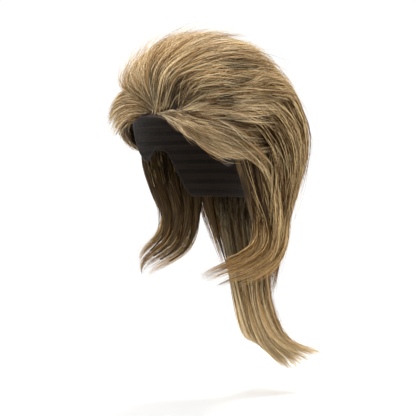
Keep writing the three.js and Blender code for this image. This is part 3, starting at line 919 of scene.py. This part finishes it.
# locks that leave the parting towards the wearer's right, rise and fall back over the front of the crown
quiffLow = [
    [0.1, -1.0, 0.44, 0.0, 0.14], [-0.16, -1.0, 0.54, 0.27, 0.54], [-0.44, -1.0, 0.73, 0.53, 0.78],
    [-0.44, -0.84, 0.94, 0.62, 0.86], [-0.42, -0.5, 1.0, 0.72, 0.96],
]
quiffHigh = [
    [0.14, -1.0, 0.45, 0.0, 0.14], [0.04, -1.0, 0.72, 0.34, 0.62], [-0.06, -0.9, 0.94, 0.5, 0.76],
    [-0.06, -0.52, 1.0, 0.62, 0.88], [0.0, -0.12, 1.0, 0.72, 0.98],
]
quiffHair = {
    **crownHair, "name": "quiffHair", "node": "fringe", "guides": [quiffLow, quiffHigh], "partings": [],
    "tints": quiffTints,
    "strands": {
        **crownHair["strands"], "seed": 19, "tufts": 11, "rootTo": 0.1, "rootSkew": 1.0, "length": (0.7, 0.95),
        "tuftWidth": 0.16, "tuftDepth": 0.25, "settle": 0.0, "loose": 0.35, "drift": 0.14, "slant": 0.08,
        "flip": 0.005, "flyLift": 0.011, "wispWidth": 0.002, "paleShare": 0.22, "layering": 0.6, "pinch": 0.5,
    },
}
# short-rooted locks between the quiff and the wing, which cover the cap beside the parting
partHair = {
    **crownHair, "name": "partHair", "guides": [guide[:5] for guide in crownHair["guides"]], "partings": [],
    "strands": {
        **crownHair["strands"], "seed": 24, "tufts": 13, "rootFrom": -0.045, "rootTo": 0.12, "rootSkew": 1.0,
        "length": (0.5, 0.9), "tuftWidth": 0.08, "depthTo": 0.5, "layering": 0.4, "slant": 0.12, "climb": 2.4,
        "deepShade": 0.55, "flip": 0.0, "flyLift": 0.002,
    },
}
# single hairs that stand off the top
strayLow = [
    [0.1, -1.0, 0.44, 0.0, 0.14], [-0.16, -1.0, 0.54, 0.4, 0.7], [-0.42, -1.0, 0.73, 0.7, 0.98],
    [-0.46, -0.84, 0.94, 0.84, 1.1], [-0.48, -0.5, 1.0, 0.9, 1.14],
]
strayHigh = [
    [0.14, -1.0, 0.45, 0.0, 0.14], [0.04, -1.0, 0.72, 0.45, 0.8], [-0.06, -0.9, 0.94, 0.72, 0.98],
    [-0.06, -0.52, 1.0, 0.84, 1.08], [0.0, -0.12, 1.0, 0.9, 1.1],
]
strayHair = {
    **crownHair, "name": "strayHair", "guides": [strayLow, strayHigh, crownMiddle[:5], crownHalf[:5]],
    "strands": {
        **crownHair["strands"], "seed": 22, "points": 10, "tufts": 50, "wisps": 5, "hairs": 1, "rootTo": 0.3,
        "rootSkew": 1.0, "length": (0.5, 0.9), "depthTo": 1.22, "layering": 0.3, "tuftWidth": 0.08,
        "loose": 0.6, "flip": 0.007, "flyLift": 0.009, "settle": 0.0, "slant": 0.1, "wispTone": 0.1,
        "radius": (0.00022, 0.00032),
    },
}
fringeHair = {
    "name": "fringeHair", "node": "fringe", "slot": "hair_crown",
    "guides": [fringeTop, fringeFront, fringeTemple],
    "locks": 4, "volume": 0.031, "fall": 0.095,
    "tints": paintedLitTints, "under": wingUnder,
    "strands": {
        **commonLook, "seed": 12, "tufts": 26, "rootFrom": -0.03, "rootTo": 0.2, "rootSkew": 1.5,
        "length": (0.75, 1.0), "endAt": 1.12, "tuftWidth": 0.1, "tuftDepth": 0.16, "ragged": 0.25,
        "wave": 0.002, "drift": 0.12, "flip": 0.002, "flyLift": 0.005, "depthTo": 0.98, "slant": 0.08,
    },
}
leftWing = {
    "name": "leftWing", "node": "wing_left", "slot": "hair_wing",
    "guides": [wingEdge, wingMiddle, wingTop],
    "locks": 4, "volume": 0.028, "fall": 0.095,
    "tints": midTints, "under": wingUnder,
    "partings": [
        [0.82, 0.36, 0.05, 0.1], [0.42, 0.74, 0.05, 0.08], [0.62, 0.56, 0.04, 0.09], [0.24, 0.5, 0.03, 0.1],
    ],
    "strands": {
        **commonLook, "seed": 13, "tufts": 55, "rootFrom": -0.02, "rootTo": 0.5, "rootSkew": 1.5,
        "length": (0.36, 0.66), "endAt": 0.92, "tuftWidth": 0.06, "tuftDepth": 0.16, "ragged": 0.2,
        "wave": 0.0036, "drift": 0.1, "flip": 0.007, "flyLift": 0.008, "slant": 0.1, "paleShare": 0.24,
        "deepShade": 0.24, "tuftTone": 0.18, "wispTone": 0.32,
    },
}
rightWing = {
    "name": "rightWing", "node": "wing_right", "slot": "hair_wing",
    "guides": [mirrored(wingFarEdge), mirrored(wingMiddle), mirrored(wingTop)],
    "locks": 4, "volume": 0.020, "fall": 0.095,
    "tints": midTints, "under": wingUnder,
    "strands": {
        **commonLook, "seed": 14, "tufts": 30, "rootFrom": -0.02, "rootTo": 0.5, "rootSkew": 1.3,
        "length": (0.42, 0.72), "endAt": 0.98, "tuftWidth": 0.065, "tuftDepth": 0.14, "ragged": 0.2,
        "wave": 0.003, "drift": 0.09, "flip": 0.005, "flyLift": 0.008,
    },
}
backHair = {
    "name": "backHair", "node": "back_hair", "slot": "hair_back",
    "guides": [backEdge, backMiddle, mirrored(backEdge)],
    "locks": 6, "volume": 0.045, "fall": 0.178,
    "tints": paintedShadeBackTints, "under": backUnder,
    "strands": {
        **commonLook, "seed": 15, "tufts": 62, "points": 9, "rootTo": 0.42, "rootSkew": 1.7, "rootsOpen": 0.0,
        "length": (0.55, 0.85), "endAt": 1.05, "climb": 7.0, "tuftWidth": 0.07, "tuftDepth": 0.12,
        "ragged": 0.14, "wave": 0.003, "drift": 0.05, "flip": 0.004, "flyLift": 0.006, "shine": 0.12,
    },
}
leftSideLock = {
    "name": "leftSideLock", "node": "side_lock_left", "slot": "hair_side",
    "guides": [sideFront, sideMiddle, sideRear],
    "locks": 4, "volume": 0.050, "fall": 0.170,
    "tints": paintedShadeSideTints, "under": sideUnder,
    "strands": {
        **commonLook, "seed": 16, "tufts": 36, "points": 10, "bunch": 0.75, "rootTo": 0.3, "rootSkew": 1.2,
        "rootsOpen": 0.0, "length": (0.65, 1.0), "endAt": 1.09, "tuftWidth": 0.08, "tuftDepth": 0.14,
        "ragged": 0.16, "wave": 0.003, "drift": 0.08, "flip": 0.003, "flyLift": 0.006, "pinch": 0.5,
        "paintedLightAcross": 0.4, "deepShade": 0.45, "wispTone": 0.32, "paleShare": 0.2, "shine": 0.12,
    },
}
rightSideLock = {
    **leftSideLock, "name": "rightSideLock", "node": "side_lock_right",
    "guides": [mirrored(guide) for guide in leftSideLock["guides"]],
    "strands": {**leftSideLock["strands"], "seed": 17, "tufts": 26},
}
# long locks that come down from the crown behind the wings and lie over the side and back layers
drapeSide = [
    [0.84, -0.62, 0.52, 0.0, 0.2], [1.0, -0.26, 0.4, 0.3, 0.56], [1.0, 0.06, 0.08, 0.4, 0.72],
    [1.0, 0.24, -0.22, 0.5, 0.86], [1.0, 0.34, -0.5, 0.6, 0.92], [1.0, 0.16, -0.8, 0.8, 1.02],
]
drapeFront = [
    [0.8, -0.5, 0.64, 0.0, 0.2], [0.98, -0.1, 0.56, 0.4, 0.64], [1.0, 0.26, 0.3, 0.5, 0.84],
    [1.0, 0.48, -0.04, 0.7, 1.02], [0.97, 0.62, -0.36, 0.9, 1.16], [1.0, 0.5, -0.72, 1.0, 1.2],
]
drapeRear = [
    [0.7, 0.0, 0.98, 0.0, 0.4], [0.84, 0.54, 0.66, 0.88, 1.16], [0.92, 0.74, 0.24, 1.02, 1.24],
    [0.96, 0.78, -0.14, 1.06, 1.2], [0.92, 0.86, -0.48, 1.1, 1.24], [0.9, 0.9, -0.82, 1.0, 1.2],
]
leftDrape = {
    **leftSideLock, "name": "leftDrape", "guides": [drapeSide, drapeFront, drapeRear], "volume": 0.0385,
    "tints": paintedShadeDrapeTints,
    "strands": {
        **backHair["strands"], "seed": 20, "tufts": 28, "rootTo": 0.36, "rootSkew": 1.0, "length": (0.5, 0.8),
        "endAt": 1.02, "tuftWidth": 0.08, "tuftDepth": 0.24, "slant": 0.09, "climb": 2.4, "drift": 0.1,
        "wave": 0.005, "gather": 0.25, "wispTone": 0.3, "tuftTone": 0.12, "paleShare": 0.13, "deepShade": 0.28,
        "paintedLightAcross": 0.65,
    },
}
rightDrape = {
    **leftDrape, "name": "rightDrape", "node": "side_lock_right", "volume": 0.034,
    "guides": [mirrored(guide) for guide in leftDrape["guides"]],
    "strands": {**leftDrape["strands"], "seed": 21, "tufts": 20},
}
# a few light locks that slip out from under the wing and cross the side, their lighter tints a painted highlight
slipHigh = [
    [0.8, -0.62, 0.3, 0.7, 0.9], [0.98, -0.3, 0.2, 0.9, 1.04], [1.0, 0.06, 0.04, 1.0, 1.12],
    [1.0, 0.4, -0.22, 1.08, 1.2], [1.0, 0.66, -0.62, 1.1, 1.3],
]
slipLow = [
    [0.86, -0.66, 0.16, 0.6, 0.8], [0.98, -0.4, -0.05, 0.82, 0.96], [1.0, -0.06, -0.3, 0.84, 1.0],
    [1.0, 0.26, -0.58, 0.9, 1.06], [1.0, 0.5, -0.86, 1.0, 1.16],
]
slipLocks = {
    **leftWing, "name": "slipLocks", "guides": [slipLow, slipHigh], "partings": [], "tints": paintedLitTints,
    "strands": {
        **leftWing["strands"], "seed": 23, "tufts": 7, "wisps": 3, "hairs": 4, "rootTo": 0.35, "rootSkew": 1.0,
        "length": (0.4, 0.66), "endAt": 1.0, "climb": 8.0, "flip": 0.002, "flyLift": 0.004, "slant": 0.16,
        "wave": 0.002,
    },
}
napeTail = {
    "name": "napeTail", "node": "nape_tail", "slot": "hair_tail",
    "guides": [tailEdge, tailMiddle, mirrored(tailEdge)],
    "locks": 5, "volume": 0.096, "fall": 0.318,
    "tints": tailTints, "under": sideUnder,
    "strands": {
        **commonLook, "seed": 18, "tufts": 44, "points": 11, "bunch": 0.8, "rootTo": 0.3, "rootSkew": 1.0,
        "rootsOpen": 0.0, "tipsOpen": 1.0, "length": (0.8, 1.0), "endAt": 1.045, "tuftWidth": 0.12,
        "tuftDepth": 0.3, "layering": 1.0, "climb": 6.0, "gather": 0.95, "pinch": 0.3, "wispWidth": 0.0013,
        "ragged": 0.12, "wave": 0.003, "drift": 0.12, "flip": 0.0, "flyLift": 0.003, "wispTone": 0.28,
        "deepShade": 0.26, "shine": 0.2,
    },
}

for piece in (napeTail, leftSideLock, rightSideLock, backHair, leftWing, rightWing, crownHair, fringeHair):
    makeUnderLocks(piece)
    makeStrands(piece)
for piece in (leftDrape, rightDrape, quiffHair, partHair, strayHair, slipLocks):
    makeStrands(piece)
